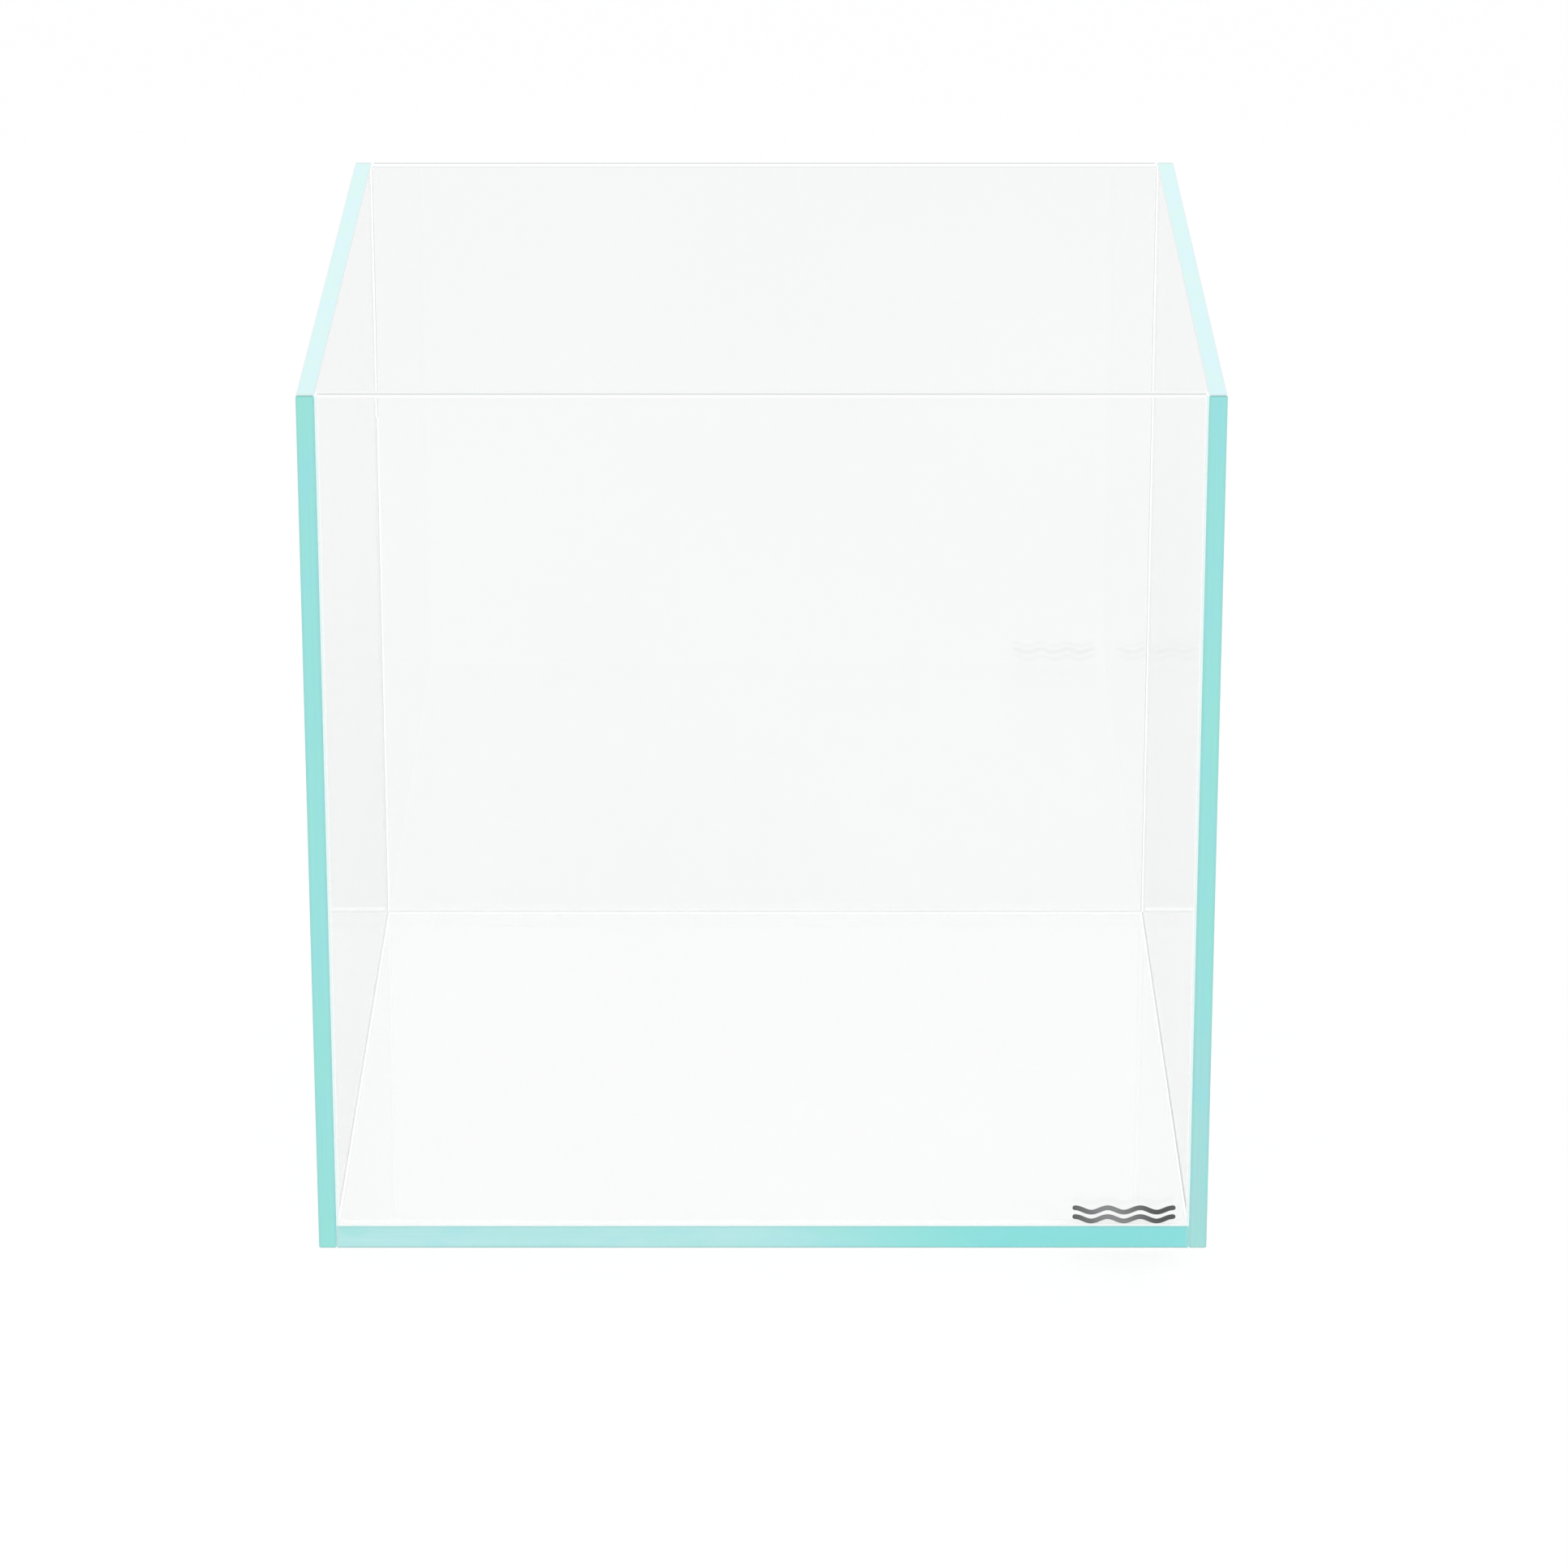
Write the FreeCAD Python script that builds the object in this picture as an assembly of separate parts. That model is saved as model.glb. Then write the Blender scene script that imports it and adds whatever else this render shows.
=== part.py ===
"""Rimless cube aquarium tank in float glass, bonded with clear silicone.

Built the way the real tank is glued up:
  * the base pane lies between the two side panes, its front and back edges showing;
  * the front and back panes stand on the base and sit between the side panes;
  * the side panes run the full depth and the full height, down to the stand;
  * every pane has a small 45 degree arris on all twelve edges;
  * a thin structural silicone bond fills each of the eight joint gaps;
  * a second, tooled silicone seal bead runs along all eight inside corners, mitred where
    three beads meet in each bottom corner and stopped just short of the rim;
  * a thin printed foil mark, two wavy lines, sits low on the right of the front pane.

Frame: +Z up, +Y to the back, the front pane faces -Y, +X to the right. The origin is the
centre of the footprint on the stand (z = 0 is the underside). All lengths in millimetres.
"""
import FreeCAD, Part
import math
import os

from FreeCAD import Vector

# ---------------------------------------------------------------- driving dimensions
TANK_W = 300.0          # outside width, X
TANK_D = 300.0          # outside depth, Y
TANK_H = 300.0          # outside height, Z
WALL_T = 6.0            # wall glass thickness
BASE_T = 8.0            # base glass thickness
ARRIS = 0.4             # leg of the 45 degree arris on every pane edge

BOND_T = 0.5            # structural silicone gap between an edge and the face it meets
BOND_STOP = 0.4         # the vertical bonds end this far below the rim

SEAL_LEG = 0.8          # leg of the inside seal bead on each pane
SEAL_MID = 0.37         # mid point of the concave bead face, as a share of the leg
SEAL_STOP = 0.9         # the vertical beads end this far below the rim

MARK_L = 34.8           # printed mark: length
MARK_RIGHT = 10.7       # its right end to the outside of the right pane
MARK_Z = 12.5           # its mid height above the stand
MARK_T = 0.08           # foil thickness
MARK_GLUE = 0.02        # gap for the adhesive film between the foil and the glass
WAVE_PERIODS = 3
WAVE_SAMPLES = 16       # curve points per period
WAVE_AMPLITUDE = 0.80
WAVE_STROKE = 1.75      # width of a wave line
WAVE_PITCH = 3.25       # distance between the two wave lines

# ---------------------------------------------------------------- derived
X_OUT, Y_OUT = TANK_W / 2, TANK_D / 2
X_IN = X_OUT - WALL_T               # inner face of a side pane
Y_IN = Y_OUT - WALL_T               # inner face of the front and back panes
X_EDGE = X_IN - BOND_T              # side edge of the base, front and back panes
Z_WALL = BASE_T + BOND_T            # bottom edge of the front and back panes

X_AXIS, Y_AXIS, Z_AXIS = Vector(1, 0, 0), Vector(0, 1, 0), Vector(0, 0, 1)
LEFT_RIGHT = (("left", -1), ("right", 1))       # name, sign of x
FRONT_BACK = (("front", -1), ("back", 1))       # name, sign of y


# ---------------------------------------------------------------- shared helpers
def box(x0, x1, y0, y1, z0, z1):
    return Part.makeBox(x1 - x0, y1 - y0, z1 - z0, Vector(x0, y0, z0))


def triangle_rod(corners, along):
    """A rod with a triangular section, extruded by the vector along."""
    wire = Part.makePolygon(corners + [corners[0]])
    return Part.Face(wire).extrude(along)


def main_solid(shape):
    """The largest body of a boolean result, without the specks a cut can leave."""
    largest = max(shape.Solids, key=lambda solid: solid.Volume)
    body = largest.removeSplitter()
    return body.Solids[0] if body.Solids else body


# ---------------------------------------------------------------- the five panes
def make_pane(*limits):
    """A sheet of glass with an arris on all twelve edges."""
    sheet = box(*limits)
    return sheet.makeChamfer(ARRIS, sheet.Edges)


def make_panes():
    # name: x from, x to, y from, y to, z from, z to
    limits = {
        "base_pane": (-X_EDGE, X_EDGE, -Y_OUT, Y_OUT, 0.0, BASE_T),
        "front_pane": (-X_EDGE, X_EDGE, -Y_OUT, -Y_IN, Z_WALL, TANK_H),
        "back_pane": (-X_EDGE, X_EDGE, Y_IN, Y_OUT, Z_WALL, TANK_H),
        "left_pane": (-X_OUT, -X_IN, -Y_OUT, Y_OUT, 0.0, TANK_H),
        "right_pane": (X_IN, X_OUT, -Y_OUT, Y_OUT, 0.0, TANK_H),
    }
    return {name: make_pane(*span) for name, span in limits.items()}


# ---------------------------------------------------------------- structural bonds
def wipe(x, y, z, leg_1, leg_2, along):
    """A rod on the line through (x, y, z) that cuts a bond back at 45 degrees."""
    corner = Vector(x, y, z)
    corners = [corner, corner + leg_1 * ARRIS, corner + leg_2 * ARRIS]
    return triangle_rod(corners, along)


def make_wipes():
    """Rods that trim the bonds where they come out beside an arris.

    A bond is wiped back to meet the arris of a side pane, or the arris on top of the
    base, so a fine V groove follows the joint lines outside.
    """
    wipes = []
    for _, x_sign in LEFT_RIGHT:
        inward = X_AXIS * -x_sign
        for _, y_sign in FRONT_BACK:
            wipes.append(wipe(x_sign * X_IN, y_sign * Y_OUT, 0,
                              inward, Y_AXIS * -y_sign, Z_AXIS * TANK_H))
        wipes.append(wipe(x_sign * X_IN, -Y_OUT, 0, inward, Z_AXIS, Y_AXIS * TANK_D))
    for _, y_sign in FRONT_BACK:
        wipes.append(wipe(-X_IN, y_sign * Y_OUT, BASE_T,
                          Y_AXIS * -y_sign, Z_AXIS, X_AXIS * (2 * X_IN)))
    return wipes


def make_bonds(panes):
    """Each bond is the joint gap itself, arris grooves included.

    It is cut from a block that covers the gap, by the panes, the bonds already laid and
    the wipes, so the order of the table matters.
    """
    x_groove = X_EDGE - ARRIS           # the block reaches in over the pane's arris
    z_groove = Z_WALL + ARRIS
    top = TANK_H - BOND_STOP
    # name: x from, x to, y from, y to, z from, z to
    gap_blocks = {
        "bond_base_left": (-X_IN, -x_groove, -Y_OUT, Y_OUT, 0.0, BASE_T),
        "bond_base_right": (x_groove, X_IN, -Y_OUT, Y_OUT, 0.0, BASE_T),
        "bond_front_left": (-X_IN, -x_groove, -Y_OUT, -Y_IN, BASE_T, top),
        "bond_front_right": (x_groove, X_IN, -Y_OUT, -Y_IN, BASE_T, top),
        "bond_back_left": (-X_IN, -x_groove, Y_IN, Y_OUT, BASE_T, top),
        "bond_back_right": (x_groove, X_IN, Y_IN, Y_OUT, BASE_T, top),
        "bond_base_front": (-X_IN, X_IN, -Y_OUT, -Y_IN, BASE_T, z_groove),
        "bond_base_back": (-X_IN, X_IN, Y_IN, Y_OUT, BASE_T, z_groove),
    }
    wipes = make_wipes()
    bonds = {}
    for name, limits in gap_blocks.items():
        cutters = list(panes.values()) + list(bonds.values()) + wipes
        bonds[name] = main_solid(box(*limits).cut(cutters))
    return bonds


# ---------------------------------------------------------------- inside seal beads
def mitre_wedge(end, inward, side, other):
    """Covers where a bead is further out along side than it is inward from its end."""
    reach = SEAL_LEG * 1.5              # clears the bead all round
    start = end - other * reach
    corners = [
        start - side * reach - inward * reach,
        start + side * (2 * reach) - inward * reach,
        start + side * (2 * reach) + inward * (2 * reach),
    ]
    return triangle_rod(corners, other * (3 * reach))


def make_seal(corner, run, length, leg_1, leg_2, mitre_end):
    """A tooled bead that starts at corner and goes length along run.

    leg_1 and leg_2 are the unit vectors from the corner line along the two panes it
    seals. The start is mitred on both sides, and so is the end if mitre_end is true.
    """
    tip_1 = corner + leg_1 * SEAL_LEG
    tip_2 = corner + leg_2 * SEAL_LEG
    middle = corner + (leg_1 + leg_2) * (SEAL_LEG * SEAL_MID)
    section = Part.Wire([
        Part.makeLine(corner, tip_1),
        Part.Arc(tip_1, middle, tip_2).toShape(),
        Part.makeLine(tip_2, corner),
    ])
    bead = Part.Face(section).extrude(run * length)

    ends = [(corner, run)]
    if mitre_end:
        ends.append((corner + run * length, run * -1))
    wedges = []
    for end, inward in ends:
        wedges.append(mitre_wedge(end, inward, leg_1, leg_2))
        wedges.append(mitre_wedge(end, inward, leg_2, leg_1))
    return main_solid(bead.cut(wedges))


def make_seals():
    seals = {}
    for y_name, y_sign in FRONT_BACK:
        seals[f"seal_base_{y_name}"] = make_seal(
            Vector(-X_IN, y_sign * Y_IN, BASE_T), X_AXIS, 2 * X_IN,
            Y_AXIS * -y_sign, Z_AXIS, mitre_end=True)
    for x_name, x_sign in LEFT_RIGHT:
        seals[f"seal_base_{x_name}"] = make_seal(
            Vector(x_sign * X_IN, -Y_IN, BASE_T), Y_AXIS, 2 * Y_IN,
            X_AXIS * -x_sign, Z_AXIS, mitre_end=True)

    rise = TANK_H - SEAL_STOP - BASE_T
    for y_name, y_sign in FRONT_BACK:
        for x_name, x_sign in LEFT_RIGHT:
            seals[f"seal_{y_name}_{x_name}"] = make_seal(
                Vector(x_sign * X_IN, y_sign * Y_IN, BASE_T), Z_AXIS, rise,
                X_AXIS * -x_sign, Y_AXIS * -y_sign, mitre_end=False)
    return seals


# ---------------------------------------------------------------- printed wave mark
def spline_edge(points):
    curve = Part.BSplineCurve()
    curve.interpolate(points)
    return curve.toShape()


def wave_line(z_mid):
    """One wavy stroke of foil on the outside of the front pane, with round ends."""
    half_stroke = WAVE_STROKE / 2
    x_right = X_OUT - MARK_RIGHT - half_stroke      # centres of the round ends
    x_left = x_right - (MARK_L - WAVE_STROKE)
    span = x_right - x_left
    y_foil = -Y_OUT - MARK_GLUE
    steps = WAVE_SAMPLES * WAVE_PERIODS
    upper, lower = [], []
    for i in range(steps + 1):
        phase = 2 * math.pi * WAVE_PERIODS * i / steps
        x = x_left + span * i / steps
        z = z_mid + WAVE_AMPLITUDE * math.cos(phase)
        # the stroke keeps its width square to its own direction
        slope = -WAVE_AMPLITUDE * math.sin(phase) * 2 * math.pi * WAVE_PERIODS / span
        offset = half_stroke / math.hypot(1.0, slope)
        upper.append(Vector(x - slope * offset, y_foil, z + offset))
        lower.append(Vector(x + slope * offset, y_foil, z - offset))

    z_end = z_mid + WAVE_AMPLITUDE
    left_tip = Vector(x_left - half_stroke, y_foil, z_end)
    right_tip = Vector(x_right + half_stroke, y_foil, z_end)
    outline = Part.Wire([
        Part.Arc(lower[0], left_tip, upper[0]).toShape(),
        spline_edge(upper),
        Part.Arc(upper[-1], right_tip, lower[-1]).toShape(),
        spline_edge(lower),
    ])
    return Part.Face(outline).extrude(Vector(0, -MARK_T, 0))


def make_mark():
    return Part.makeCompound([
        wave_line(MARK_Z + WAVE_PITCH / 2).Solids[0],
        wave_line(MARK_Z - WAVE_PITCH / 2).Solids[0],
    ])


# ---------------------------------------------------------------- build and export
panes = make_panes()
pieces = {**panes, **make_bonds(panes), **make_seals(), "wave_mark": make_mark()}

os.makedirs("parts", exist_ok=True)
for name, shape in pieces.items():
    shape.exportStep(os.path.join("parts", name + ".step"))
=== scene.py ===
"""Rimless glass cube aquarium: looks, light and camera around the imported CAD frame.

Metres, +Z up. The tank is centred on x = 0 and y = 0, with its front pane towards -Y.
"""
import math
import bpy
import bmesh
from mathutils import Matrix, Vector


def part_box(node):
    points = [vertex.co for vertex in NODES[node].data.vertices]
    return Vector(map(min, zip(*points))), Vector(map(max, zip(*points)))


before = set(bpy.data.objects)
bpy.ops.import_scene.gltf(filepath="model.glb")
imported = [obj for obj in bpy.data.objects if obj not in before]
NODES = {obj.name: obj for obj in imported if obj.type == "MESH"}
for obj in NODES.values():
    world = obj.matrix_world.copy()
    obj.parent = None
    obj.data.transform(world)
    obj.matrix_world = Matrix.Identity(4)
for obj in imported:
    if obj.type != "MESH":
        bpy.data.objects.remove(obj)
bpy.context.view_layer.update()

LO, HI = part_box("left_pane")[0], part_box("right_pane")[1]      # outside of the tank
X_OUT, Y_OUT, TOP = HI.x, HI.y, HI.z
X_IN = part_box("right_pane")[0].x                              # inner face of a side pane
Y_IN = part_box("back_pane")[0].y                               # inner face of the back pane
Z_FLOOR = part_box("base_pane")[1].z                            # inside floor

AXES = {"X": (1, 0, 0), "Y": (0, 1, 0), "Z": (0, 0, 1)}
EDGE_SPAN = {"X": (X_IN, X_OUT), "Y": (Y_IN, Y_OUT), "Z": (LO.z, Z_FLOOR)}


def srgb(r, g, b):
    """An 8-bit display colour as linear RGB."""
    out = []
    for v in (r, g, b):
        v /= 255
        out.append(v / 12.92 if v <= 0.04045 else ((v + 0.055) / 1.055) ** 2.4)
    return out


def scaled(colour, factor):
    return [c * factor for c in colour]


# ------------------------------------------------------------------ node tree helper
class Tree:
    """Short-hand for writing a shader as expressions."""

    def __init__(self, name):
        self.mat = bpy.data.materials.new(name)
        self.mat.use_nodes = True
        self.nt = self.mat.node_tree
        self.nt.nodes.clear()
        self.out = self.nt.nodes.new("ShaderNodeOutputMaterial")
        self.inputs = {}

    def node(self, kind, **props):
        n = self.nt.nodes.new(kind)
        for k, v in props.items():
            setattr(n, k, v)
        return n

    def put(self, socket, value):
        """Link a socket, or set a value; a grey or an RGB becomes RGBA where needed."""
        if isinstance(value, bpy.types.NodeSocket):
            self.nt.links.new(value, socket)
        else:
            if socket.type == "RGBA" and not hasattr(value, "__len__"):
                value = (value, value, value, 1.0)
            elif socket.type == "RGBA" and len(value) == 3:
                value = (*value, 1.0)
            socket.default_value = value

    def shared(self, kind):
        """The outputs of an input node that the whole tree shares."""
        if kind not in self.inputs:
            self.inputs[kind] = self.node(kind)
        return self.inputs[kind].outputs

    @property
    def geo(self):
        return self.shared("ShaderNodeNewGeometry")

    @property
    def path(self):
        return self.shared("ShaderNodeLightPath")

    @property
    def place(self):
        return self.shared("ShaderNodeTexCoord")["Object"]

    @property
    def mirrored(self):
        """1 where the surface is seen in a mirror image, as in the panes beside it."""
        return self.gt(self.path["Glossy Depth"], 0.5)

    def math(self, op, *values):
        n = self.node("ShaderNodeMath", operation=op)
        for s, v in zip(n.inputs, values):
            self.put(s, v)
        return n.outputs[0]

    def add(self, a, b): return self.math("ADD", a, b)
    def sub(self, a, b): return self.math("SUBTRACT", a, b)
    def mul(self, a, b): return self.math("MULTIPLY", a, b)
    def inv(self, a): return self.math("SUBTRACT", 1.0, a)
    def gt(self, a, b): return self.math("GREATER_THAN", a, b)
    def size(self, a): return self.math("ABSOLUTE", a)
    def least(self, a, b): return self.math("MINIMUM", a, b)
    def most(self, a, b): return self.math("MAXIMUM", a, b)

    def grey(self, value):
        n = self.node("ShaderNodeCombineColor")
        for s in n.inputs:
            self.put(s, value)
        return n.outputs[0]

    def dot(self, a, v):
        n = self.node("ShaderNodeVectorMath", operation="DOT_PRODUCT")
        self.put(n.inputs[0], a)
        self.put(n.inputs[1], v)
        return n.outputs["Value"]

    def xyz(self, v):
        n = self.node("ShaderNodeSeparateXYZ")
        self.put(n.inputs[0], v)
        return n.outputs

    def ramp(self, x, lo, hi, out_lo=0.0, out_hi=1.0, smooth=True):
        n = self.node("ShaderNodeMapRange", clamp=True,
                      interpolation_type="SMOOTHSTEP" if smooth else "LINEAR")
        for i, v in enumerate((x, lo, hi, out_lo, out_hi)):
            self.put(n.inputs[i], v)
        return n.outputs["Result"]

    def spread(self, noise, out_lo=0.0, out_hi=1.0):
        """A noise, with the middle of its range drawn out over out_lo to out_hi."""
        return self.ramp(noise, 0.3, 0.7, out_lo, out_hi)

    def mix(self, fac, a, b, blend="MIX"):
        n = self.node("ShaderNodeMix", data_type="RGBA", blend_type=blend)
        self.put(n.inputs["Factor"], fac)
        self.put(n.inputs[6], a)
        self.put(n.inputs[7], b)
        return n.outputs[2]

    def mixf(self, fac, a, b):
        n = self.node("ShaderNodeMix", data_type="FLOAT")
        self.put(n.inputs["Factor"], fac)
        self.put(n.inputs[2], a)
        self.put(n.inputs[3], b)
        return n.outputs[0]

    def dim(self, colour, level):
        return self.mix(1.0, colour, self.grey(level), "MULTIPLY")

    def stretch(self, sx, sy, sz, offset=(0, 0, 0)):
        n = self.node("ShaderNodeMapping")
        self.put(n.inputs["Vector"], self.place)
        n.inputs["Scale"].default_value = (sx, sy, sz)
        n.inputs["Location"].default_value = offset
        return n.outputs[0]

    def noise(self, vector, scale=1.0, detail=2.0, rough=0.5):
        n = self.node("ShaderNodeTexNoise")
        self.put(n.inputs["Vector"], vector)
        n.inputs["Scale"].default_value = scale
        n.inputs["Detail"].default_value = detail
        n.inputs["Roughness"].default_value = rough
        return n.outputs["Fac"]

    def bump(self, height, distance, strength):
        n = self.node("ShaderNodeBump")
        self.put(n.inputs["Height"], height)
        n.inputs["Distance"].default_value = distance
        n.inputs["Strength"].default_value = strength
        return n.outputs["Normal"]

    def transparent(self, colour):
        n = self.node("ShaderNodeBsdfTransparent")
        self.put(n.inputs["Color"], colour)
        return n.outputs[0]

    def principled(self, **values):
        n = self.node("ShaderNodeBsdfPrincipled")
        for k, v in values.items():
            self.put(n.inputs[k.replace("_", " ")], v)
        return n.outputs[0]

    def blend(self, fac, a, b):
        n = self.node("ShaderNodeMixShader")
        self.put(n.inputs[0], fac)
        self.put(n.inputs[1], a)
        self.put(n.inputs[2], b)
        return n.outputs[0]

    def done(self, shader):
        self.put(self.out.inputs["Surface"], shader)
        return self.mat


def dress(name, *materials):
    slots = NODES[name].data.materials
    slots.clear()
    for material in materials:
        slots.append(material)


# ------------------------------------------------------------------ glass
TEAL = srgb(154, 226, 222)
TEAL_DEEP = srgb(139, 225, 224)
TEAL_SOFT = srgb(185, 233, 233)
TEAL_GREY = srgb(168, 222, 221)
TEAL_LIT_TOP = srgb(215, 249, 249)
EDGE_BAND = srgb(126, 212, 202)
EDGE_BLUE = srgb(150, 222, 232)
EDGE_GREEN = srgb(152, 229, 212)
# painted shade for the arrises of the cut edges and the lines beside them
EDGE_ARRIS_SHADE = srgb(150, 200, 196)
GLUED = srgb(249, 250, 249)
PAINTED_SHINE = (1.22, 1.22, 1.22)        # painted highlight: a line that catches the light, as bright as it gets
SIDE_LIGHT = 0.91      # albedo that brings an upright face to its drawn colour here
TOP_LIGHT = 0.745      # the same for a face that looks up, which gets more light
SHEET_DRIFT = 0.006    # how much clearer a sheet gets in places
SIDE_FALL = 0.08       # how far a side pane's tint shifts from mid-height to rim or foot

SIDE_RIM_END = 0.0016                      # painted shade: grey ends of a side pane's rim
# strips of painted shade and painted highlight along a front or back rim: one from the inner
# face, the rest from the outer
RIM_INNER = 0.00042
FRONT_RIM_GREY, FRONT_RIM_WHITE = 0.0026, 0.0011
BACK_RIM_GREY = 0.0020


def lets_lamps_by(t, shader, colour):
    """Lamp light and bounce light go straight on through glass and silicone, with a
    little of colour, so the tank throws only a faint shadow."""
    lamp = t.most(t.path["Is Shadow Ray"], t.path["Is Diffuse Ray"])
    return t.blend(lamp, shader, t.transparent(colour))


def clear_glass(name, tint, fall):
    """The broad faces: float glass that bends and mirrors light. tint is what one pane
    lets through, and it drifts a little over the sheet and by fall up its height."""
    t = Tree(name)
    slow = t.spread(t.noise(t.stretch(1, 1, 1), scale=7.0, rough=0.6))
    colour = t.mix(slow, tint, [min(1.0, c + SHEET_DRIFT) for c in tint])
    if fall:        # a little clearer towards the rim and deeper towards the foot
        x, y, z = t.xyz(t.place)
        colour = t.dim(colour, t.ramp(z, LO.z, TOP, 1.0 - fall, 1.0 + fall, smooth=False))
    ripple = t.noise(t.stretch(1, 1, 1, offset=(3, 1, 2)), scale=9.0, detail=1.0)
    sheet = t.principled(Base_Color=colour, Roughness=0.0, IOR=1.52,
                         Transmission_Weight=1.0,
                         Normal=t.bump(ripple, distance=0.00003, strength=0.3))
    return t.done(lets_lamps_by(t, sheet, (0.992, 0.996, 0.994)))


def polished_edge(name, across, tone, top):
    """The free cut edges: polished and teal with fine drawn-out bands along them, paler
    on top as painted light and greyer on the arrises as painted shade. across is the axis
    the thickness runs along, and top is None for a pane whose upper side isn't a cut edge."""
    t = Tree(name)

    def drawn_out(through, along):
        return t.stretch(*[through if axis == across else along for axis in "XYZ"])

    # which way the face looks: across the thickness, up, or askew on an arris
    normal = t.geo["Normal"]
    arris = t.gt(t.size(t.dot(normal, AXES[across])), 0.5)
    rise = t.dot(normal, AXES["Z"])
    up = t.gt(rise, 0.8)
    up_arris = t.mul(t.gt(rise, 0.6), t.inv(up))
    down_arris = t.mul(t.gt(-0.6, rise), t.gt(rise, -0.8))

    # bands and soft patches of colour
    bands = t.noise(drawn_out(1600, 9), rough=0.6)
    wide = drawn_out(220, 60)
    pools = t.noise(wide, detail=1.0)
    glow = t.noise(wide, scale=0.6)
    blotch = 0.45 if top else 0.22
    colour = t.mix(t.spread(bands, out_hi=0.14), tone(t), EDGE_BAND)
    for patches, patch_colour in ((pools, EDGE_BLUE), (glow, EDGE_GREEN)):
        colour = t.mix(t.ramp(patches, 0.48, 0.70, out_hi=blotch), colour, patch_colour)
    # painted shade: a greyer copy of the edge colour for the arrises and borders
    arris_shade = t.mix(0.30, colour, EDGE_ARRIS_SHADE)

    # painted shade: a fine darker line follows each side of the edge, just inside its arris
    at = t.size(t.xyz(t.place)["XYZ".index(across)])
    lo, hi = EDGE_SPAN[across]
    border = t.ramp(t.least(t.sub(at, lo), t.sub(hi, at)),
                    0.0005, 0.0010, out_lo=0.8, out_hi=0.0)
    arris_shade_mask = t.most(t.most(arris, up_arris), border)
    colour = t.mix(arris_shade_mask, colour, arris_shade)

    # painted shade: the arrises that look up or down are darkened by these shares
    shade = t.sub(1.0, t.add(t.mul(0.26 if top else 0.08, up_arris),
                             t.mul(0.42, down_arris)))
    colour = t.dim(colour, t.mul(shade, SIDE_LIGHT))
    if top:
        # painted light and shade on the rims: paler on a side pane as lit from above, and
        # lines of painted highlight and shade on the front and back
        rim_light_and_shade = t.mix(1.0, top(t, arris, up, bands, pools), (TOP_LIGHT,) * 3, "MULTIPLY")
        rim = t.most(up, t.mul(up_arris, 1.0 if top is top_wall else arris))
        colour = t.mix(rim, colour, rim_light_and_shade)
    # from inside the glass a far edge shows only as a pale line
    colour = t.mix(t.mul(0.98, t.geo["Backfacing"]), colour, scaled(GLUED, SIDE_LIGHT))
    edge = t.principled(Base_Color=colour, Roughness=0.25, IOR=1.45,
                        Specular_IOR_Level=0.25, Coat_Weight=0.15, Coat_Roughness=0.04,
                        Normal=t.bump(bands, distance=0.00002, strength=0.2))
    return t.done(lets_lamps_by(t, edge, (0.985, 0.998, 0.996)))


def glued_edge(name):
    """An edge set in silicone: it reads as pale as the sheet, with cloudy streaks where
    the silicone has wetted the ground glass."""
    t = Tree(name)
    streaks = t.ramp(t.noise(t.stretch(90, 90, 90), detail=3.0, rough=0.6), 0.35, 0.65)
    level = t.gt(t.size(t.dot(t.geo["Normal"], AXES["Z"])), 0.6)
    colour = t.mix(streaks, GLUED, scaled(GLUED, 0.985))
    # painted shade: albedo set apart for faces seen directly and in a mirror image, upright
    # faces, then level ones, which get more light
    light = t.mixf(level, t.mixf(t.mirrored, 0.97, 0.88), t.mixf(t.mirrored, 0.865, 0.95))
    edge = t.principled(Base_Color=t.dim(colour, light), Roughness=0.35, IOR=1.41,
                        Specular_IOR_Level=0.2,
                        Normal=t.bump(streaks, distance=0.00002, strength=0.3))
    return t.done(lets_lamps_by(t, edge, (0.992, 0.996, 0.994)))


def tone_side(t):
    """The upright panes' edges: teal, greyer low down on the right."""
    x, y, z = t.xyz(t.place)
    low = t.mul(t.ramp(z, 0.015, 0.130, out_lo=1.0, out_hi=0.0), t.gt(x, 0.0))
    return t.mix(low, TEAL, TEAL_GREY)


def tone_base(t):
    """The base's edge: soft teal on the left, deeper towards the right."""
    x, y, z = t.xyz(t.place)
    return t.mix(t.ramp(x, -0.020, 0.085), TEAL_SOFT, TEAL_DEEP)


def top_side(t, arris, up, bands, pools):
    """The rim of a side pane, seen along its length: pale teal, painted as lit from above,
    with grey ends of painted shade.
    """
    x, y, z = t.xyz(t.place)
    colour = t.mix(t.ramp(pools, 0.36, 0.64), srgb(214, 250, 246), srgb(213, 248, 254))
    colour = t.mix(t.spread(bands, out_hi=0.3), colour, TEAL_LIT_TOP)
    colour = t.mix(t.gt(t.size(y), Y_OUT - SIDE_RIM_END), colour, srgb(206, 226, 223))
    return t.mix(t.mul(arris, t.inv(up)), colour, srgb(230, 244, 243))


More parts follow.
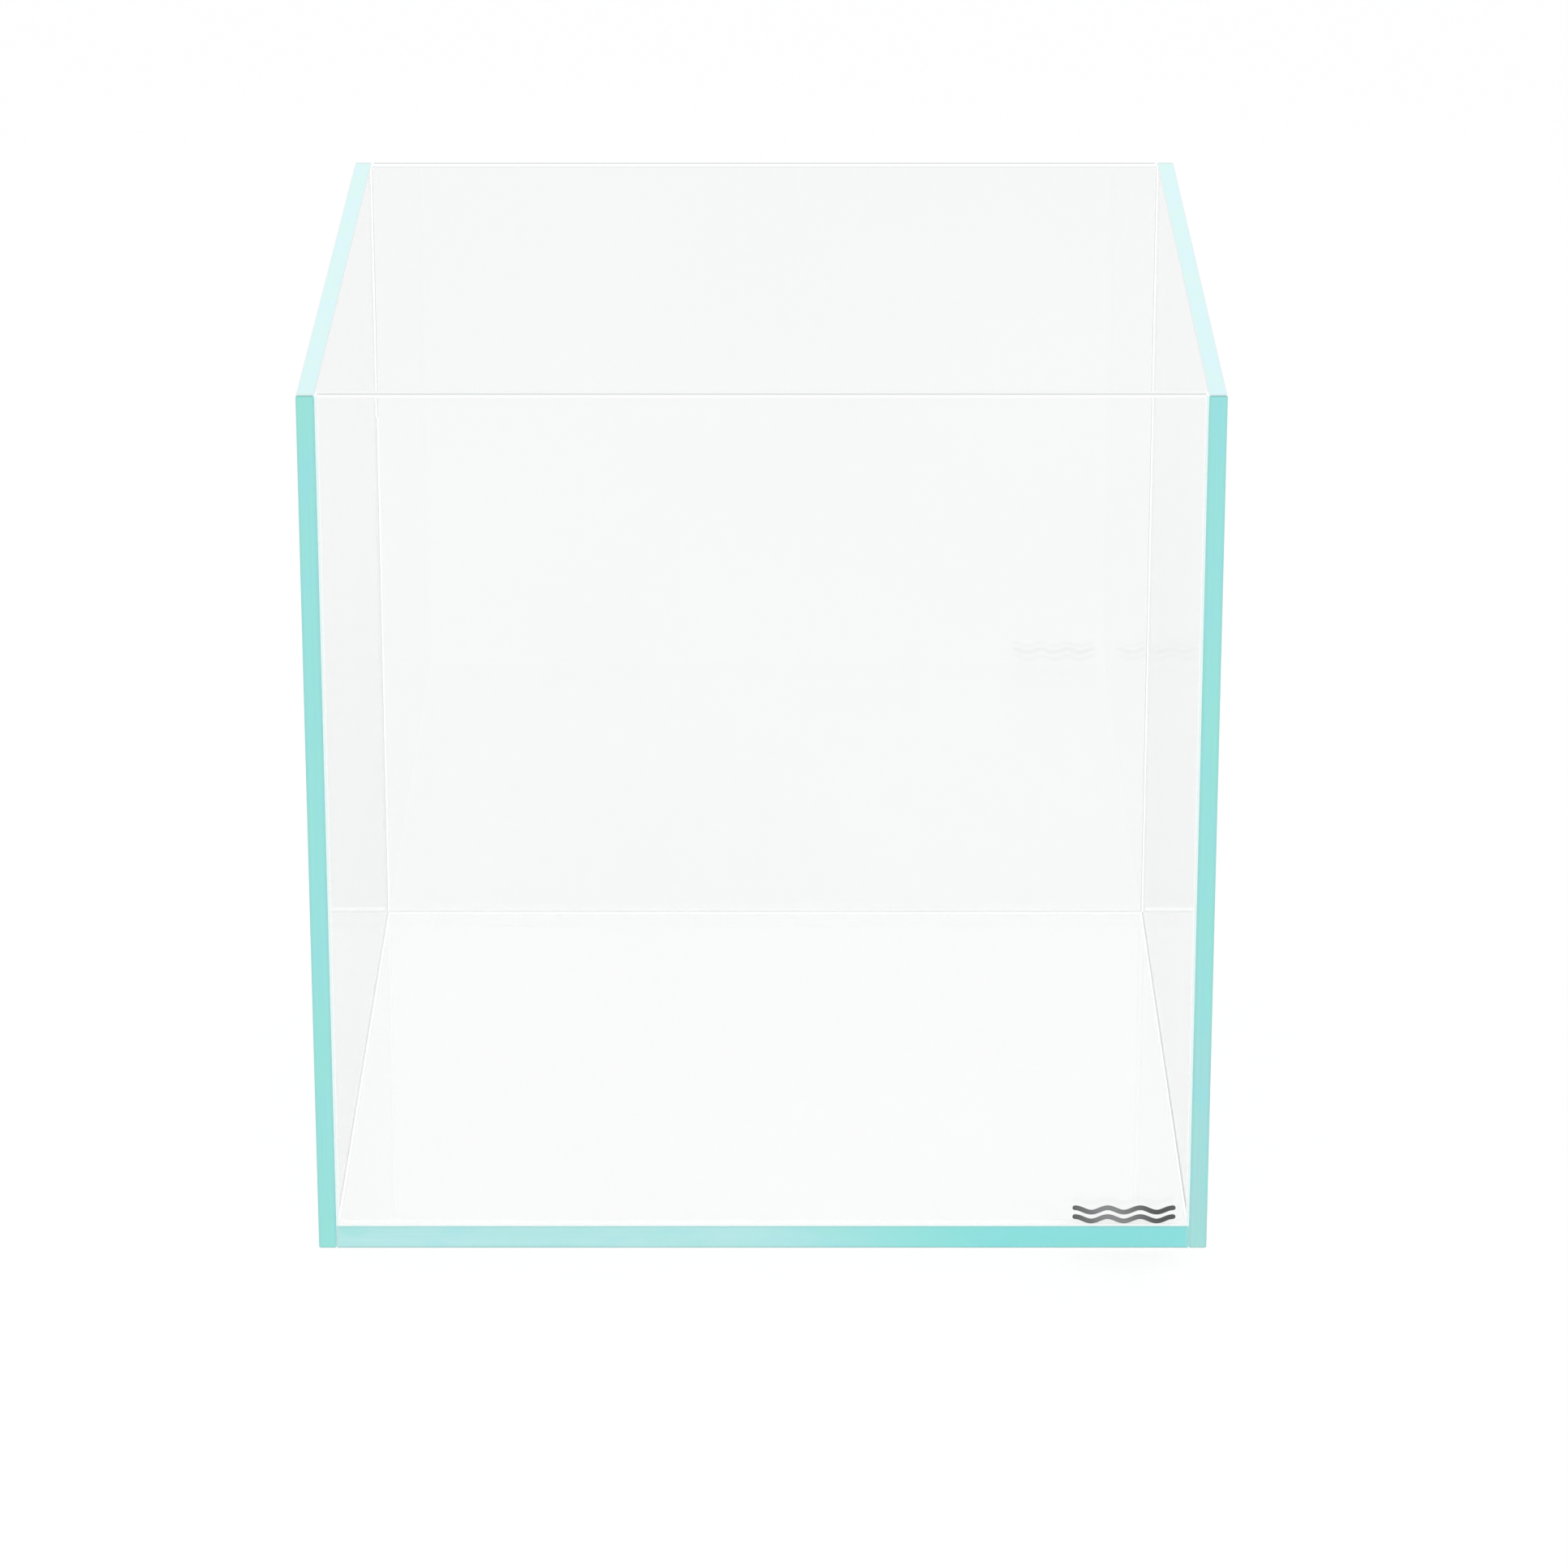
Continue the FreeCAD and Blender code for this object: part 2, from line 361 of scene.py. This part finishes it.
def top_wall(t, arris, up, bands, pools):
    """The rim of the front or back pane, seen across: nearly clear, with grey lines of
    painted shade and white lines of painted highlight along it."""
    x, y, z = t.xyz(t.place)
    depth = t.size(y)
    body = t.mix(t.ramp(pools, 0.35, 0.7), srgb(247, 250, 249), srgb(249, 251, 251))
    inner = t.gt(Y_IN + RIM_INNER, depth)
    # the front rim, going outwards: a greyish line, clear, grey, then bright; the greyish
    # and grey lines are painted shade, the bright one a painted highlight
    grey = t.gt(depth, Y_OUT - FRONT_RIM_GREY)
    white = t.gt(depth, Y_OUT - FRONT_RIM_WHITE)
    front = t.mix(white, t.mix(grey, body, srgb(206, 212, 210)), PAINTED_SHINE)
    front = t.mix(inner, front, srgb(228, 233, 231))
    # the back rim, going outwards: a pale line, bright, then grey; the bright line is a
    # painted highlight, the grey one painted shade
    lit = t.gt(Y_OUT - BACK_RIM_GREY, depth)
    back = t.mix(lit, srgb(210, 213, 212), t.mix(inner, PAINTED_SHINE, srgb(246, 250, 249)))
    return t.mix(t.gt(0.0, y), back, front)


PANES = {        # thickness axis, tint of the sheet, edge colour, rim colour
    "left_pane": ("X", (0.850, 0.858, 0.854), tone_side, top_side),
    "right_pane": ("X", (0.850, 0.858, 0.854), tone_side, top_side),
    "front_pane": ("Y", (0.990, 0.990, 0.990), tone_side, top_wall),
    "back_pane": ("Y", (0.922, 0.933, 0.928), tone_side, top_wall),
    "base_pane": ("Z", (0.985, 0.978, 0.981), tone_base, None),
}
BROAD, CUT, WETTED = range(3)        # material slots of a pane


def pane_slot(name, across, normal):
    """The slot for a face of a pane, from the way it looks."""
    if abs(normal.dot(Vector(AXES[across]))) > 0.9:
        return BROAD
    sideways = abs(normal.x) > 0.6
    if name == "base_pane" and sideways:
        return WETTED
    if name in ("front_pane", "back_pane") and (sideways or normal.z < -0.6):
        return WETTED
    return CUT


wetted = glued_edge("glued_edge")
for name, (across, tint, tone, top) in PANES.items():
    dress(name,
          clear_glass("clear_glass_" + name, tint, SIDE_FALL if across == "X" else 0.0),
          polished_edge("polished_edge_" + name, across, tone, top),
          wetted)
    for face in NODES[name].data.polygons:
        face.material_index = pane_slot(name, across, face.normal)


# ------------------------------------------------------------------ silicone
WELD_REACH = 1e-6
GLASS_GAP = 0.00002        # silicone is drawn in by this, clear of the glass


def silicone(t, body, alpha):
    """Clear cured silicone: a milky body with fine flow lines and small trapped bubbles,
    as solid as alpha says."""
    flow = t.noise(t.stretch(60, 60, 60), detail=3.0, rough=0.6)
    bubbles = t.node("ShaderNodeTexVoronoi")
    t.put(bubbles.inputs["Vector"], t.stretch(260, 260, 260))
    spots = t.ramp(bubbles.outputs["Distance"], 0.05, 0.12, out_lo=1.0, out_hi=0.0)
    colour = t.mix(t.spread(flow, out_hi=0.12), body, srgb(240, 246, 246))
    bump = t.bump(t.add(flow, t.mul(spots, 0.3)), distance=0.00006, strength=0.4)
    milk = t.principled(Base_Color=colour, Roughness=0.28, IOR=1.41, Normal=bump)
    alpha = t.mul(alpha, t.spread(flow, out_lo=0.92))
    # the glass beside it mirrors it only faintly
    alpha = t.mul(alpha, t.inv(t.mul(0.94, t.mirrored)))
    glue = t.blend(alpha, t.transparent((0.995, 0.998, 0.997)), milk)
    return t.done(lets_lamps_by(t, glue, (0.995, 0.997, 0.996)))


def seal_bead(name, run, reach, grey, light):
    """The tooled bead: milky white where it is thick, partly brightened past full albedo as
    a painted highlight, clear where it feathers out on the floor and a fine grey line of
    painted shade, reach wide, where it feathers out on a wall. run is the axis it runs
    along, and light is the albedo that brings its grey face to its drawn colour."""
    t = Tree(name)
    x, y, z = t.xyz(t.place)
    from_side = t.sub(X_IN, t.size(x))
    from_wall = t.sub(Y_IN, t.size(y))
    nx, ny, nz = [t.size(v) for v in t.xyz(t.geo["True Normal"])]
    contact = t.gt(t.most(t.most(nx, ny), nz), 0.985)      # square against the glass
    if run == "Z":
        thick = t.most(from_side, from_wall)
    else:
        thick = t.least(t.least(from_side, from_wall), t.sub(z, Z_FLOOR))
    # painted highlight: the thick bead is whiter than full albedo
    white, shade_depth = (1.04,) * 3, 1.0
    if run == "Y":      # painted shade, deeper on the right-hand side, and more so towards the front
        white = (1.12,) * 3
        shade_line = t.ramp(from_side, reach * 0.6, reach, out_lo=1.0, out_hi=0.0)
        shade_depth = t.ramp(y, -Y_IN, Y_IN, out_lo=0.66, out_hi=0.86, smooth=False)
        shade_depth = t.mixf(t.gt(x, 0.0), 1.0, shade_depth)
    else:
        at_back = t.gt(y, 0.0)
        if run == "X":  # the front one is seen through its pane, and blends in with it
            shade_line = t.ramp(from_wall, reach * 0.6, reach, out_lo=1.0, out_hi=0.0)
            white = t.mix(at_back, scaled(srgb(249, 250, 250), 0.835), white)
        else:   # the painted shade line runs along the back wall, but on the side wall low down on the left
            low_left = t.mul(t.gt(0.0, x), t.gt(0.205, z))
            shade_line = t.mixf(low_left, t.ramp(from_side, reach * 0.75, reach),
                               t.ramp(from_side, reach * 0.45, reach * 0.75,
                                      out_lo=1.0, out_hi=0.0))
        shade_line = t.mul(shade_line, at_back)
    shade_on_wall = t.mul(shade_line, t.inv(contact))
    body = t.mix(shade_on_wall, white, t.dim(scaled(srgb(*grey), light), shade_depth))
    solid = t.ramp(thick, 0.0, 0.00018, out_lo=0.30, out_hi=0.96)
    solid = t.most(solid, t.mul(shade_on_wall, 0.96))
    return silicone(t, body, t.mixf(contact, solid, 0.45))


def bond_line(name, left, right, alpha):
    """The thin structural joint: pale inside, and where it comes out at the front or
    the back it takes up the colour of the edges on each side, as painted light passed into
    it."""
    t = Tree(name)
    x, y, z = t.xyz(t.place)
    end = t.ramp(t.size(y), Y_OUT - 0.0014, Y_OUT - 0.0006)
    drift = t.spread(t.noise(t.stretch(14, 14, 14), detail=1.0), out_hi=0.1)
    tone = t.mix(t.gt(x, 0.0), left, right)
    tone = t.mix(drift, tone, srgb(225, 240, 239))
    return silicone(t, t.mix(end, srgb(244, 243, 245), tone), alpha)


# grey is the colour of each bead's line of painted shade
bead_side = seal_bead("silicone_seal_side", "Y", reach=0.00054,
                      grey=(231, 227, 229), light=0.82)
bead_back = seal_bead("silicone_seal_back", "X", reach=0.00032,
                      grey=(236, 233, 235), light=0.86)
bead_upright = seal_bead("silicone_seal_upright", "Z", reach=0.00050,
                         grey=(228, 224, 226), light=0.91)
pale = scaled(srgb(230, 248, 247), SIDE_LIGHT)
cool = scaled(srgb(253, 255, 255), SIDE_LIGHT)
bond_upright = bond_line("silicone_bond_upright", left=pale, right=pale, alpha=0.80)
# painted light: the foot bonds take the teal of the base's edges beside them
bond_foot = bond_line("silicone_bond_foot", left=scaled(TEAL_SOFT, 0.80),
                      right=scaled(TEAL_DEEP, 0.80), alpha=0.98)
bond_ledge = bond_line("silicone_bond_ledge", left=cool, right=cool, alpha=0.92)

SILICONE = {       # at the base's left and right, at its front and back, upright
    "seal_": (bead_side, bead_back, bead_upright),
    "bond_": (bond_foot, bond_ledge, bond_upright),
}
for name, obj in NODES.items():
    kind, where = name[:5], name[5:]
    if kind not in SILICONE:
        continue
    at_side, at_wall, upright = SILICONE[kind]
    if where in ("base_left", "base_right"):
        dress(name, at_side)
    else:
        dress(name, at_wall if where.startswith("base") else upright)
    weld = obj.modifiers.new("weld", "WELD")
    weld.merge_threshold = WELD_REACH
    thin = obj.modifiers.new("clear_of_glass", "DISPLACE")
    thin.strength, thin.mid_level = -GLASS_GAP, 0.0


# ------------------------------------------------------------------ printed mark
def foil(name):
    """Grey foil, brushed across, with a slanting sweep from dark to light."""
    t = Tree(name)
    x, y, z = t.xyz(t.place)
    slant = t.add(t.mul(x, 1 / 0.0175), t.mul(z, 22.0))
    sweep = t.ramp(t.math("PINGPONG", slant, 1.0), 0.0, 1.0)
    colour = t.mix(sweep, srgb(78, 80, 80), srgb(138, 141, 141))
    brushed = t.noise(t.stretch(60, 60, 9000))
    colour = t.mix(t.spread(brushed, out_hi=0.25), colour, srgb(60, 62, 62))
    return t.done(t.principled(Base_Color=colour, Metallic=0.35, Roughness=0.38,
                               Normal=t.bump(brushed, distance=0.00001, strength=0.4)))


dress("wave_mark", foil("printed_foil"))


# ------------------------------------------------------------------ floor, light, camera
FLOOR_RADIUS = 12.0
FLOOR_GAP = 0.0004             # between the floor and the tank's underside
FLOOR_FADE = (1.35, 2.6)       # radii over which the floor fades into the backdrop
WORLD_AS_LIGHT, WORLD_AS_BACKDROP = 1.12, 1.0

scene = bpy.context.scene


def studio_floor(name):
    t = Tree(name)
    grain = t.noise(t.stretch(1, 1, 1), scale=300.0)
    x, y, z = t.xyz(t.place)
    # far out it fades into the backdrop, so a low view shows no horizon
    far = t.ramp(t.math("SQRT", t.add(t.mul(x, x), t.mul(y, y))), *FLOOR_FADE)
    sheet = t.mix(grain, (0.80, 0.80, 0.80), (0.82, 0.82, 0.82))
    return t.done(t.principled(
        Base_Color=t.mix(far, sheet, (0.0, 0.0, 0.0)), Roughness=0.9,
        Specular_IOR_Level=t.mixf(far, 0.05, 0.0),
        Emission_Color=(1.0, 1.0, 1.0), Emission_Strength=far))


def build_floor():
    mesh = bpy.data.meshes.new("floor")
    bm = bmesh.new()
    bmesh.ops.create_circle(bm, cap_ends=True, radius=FLOOR_RADIUS, segments=96)
    bm.to_mesh(mesh)
    bm.free()
    floor = bpy.data.objects.new("floor", mesh)
    floor.location.z = LO.z - FLOOR_GAP
    scene.collection.objects.link(floor)
    mesh.materials.append(studio_floor("studio_floor"))


def build_world():
    """A white studio, a little brighter as a light than as a backdrop."""
    world = bpy.data.worlds.new("studio")
    scene.world = world
    world.use_nodes = True
    nodes, link = world.node_tree.nodes, world.node_tree.links.new
    nodes.clear()
    out = nodes.new("ShaderNodeOutputWorld")
    background = nodes.new("ShaderNodeBackground")
    background.inputs["Color"].default_value = (1, 1, 1, 1)
    path = nodes.new("ShaderNodeLightPath")
    seen = nodes.new("ShaderNodeMath")
    seen.operation = "MAXIMUM"
    link(path.outputs["Is Camera Ray"], seen.inputs[0])
    link(path.outputs["Is Singular Ray"], seen.inputs[1])
    power = nodes.new("ShaderNodeMapRange")
    power.inputs["To Min"].default_value = WORLD_AS_LIGHT
    power.inputs["To Max"].default_value = WORLD_AS_BACKDROP
    link(seen.outputs[0], power.inputs["Value"])
    link(power.outputs["Result"], background.inputs["Strength"])
    link(background.outputs[0], out.inputs[0])


def softbox(name, at, look, size, watts):
    """A square area light at one point, looking at another."""
    light = bpy.data.lights.new(name, "AREA")
    light.shape = "RECTANGLE"
    light.size = light.size_y = size
    light.energy = watts
    obj = bpy.data.objects.new(name, light)
    obj.location = at
    obj.rotation_euler = (Vector(look) - Vector(at)).to_track_quat("-Z", "Y").to_euler()
    scene.collection.objects.link(obj)


def build_camera():
    lens = bpy.data.cameras.new("camera")
    camera = bpy.data.objects.new("camera", lens)
    scene.collection.objects.link(camera)
    lens.sensor_fit = "HORIZONTAL"
    lens.sensor_width = 36.0
    lens.lens = 143.6
    lens.clip_start, lens.clip_end = 0.05, 60.0
    camera.location = (0.0072, -2.0820, 0.8740)
    camera.rotation_euler = (math.radians(90 - 20.097), 0, 0)      # tipped down
    scene.camera = camera


build_floor()
build_world()
softbox("overhead_softbox", at=(0, 0.4, 4.0), look=(0, 0.4, 0), size=5.0, watts=24)
softbox("left_softbox", at=(-2.2, -1.2, 1.9), look=(0, 0, 0.15), size=1.2, watts=3)
softbox("right_softbox", at=(2.2, -1.2, 1.9), look=(0, 0, 0.15), size=1.2, watts=2.4)
build_camera()

view = scene.view_settings
view.view_transform = "Standard"
view.look = "None"
view.exposure = 0.0
view.gamma = 1.0
cycles = scene.cycles
cycles.max_bounces = 24
cycles.diffuse_bounces = 4
cycles.glossy_bounces = 10
cycles.transmission_bounces = 12
cycles.transparent_max_bounces = 64
cycles.sample_clamp_indirect = 8.0
cycles.caustics_reflective = False      # glass lets lamp light straight through
cycles.caustics_refractive = False
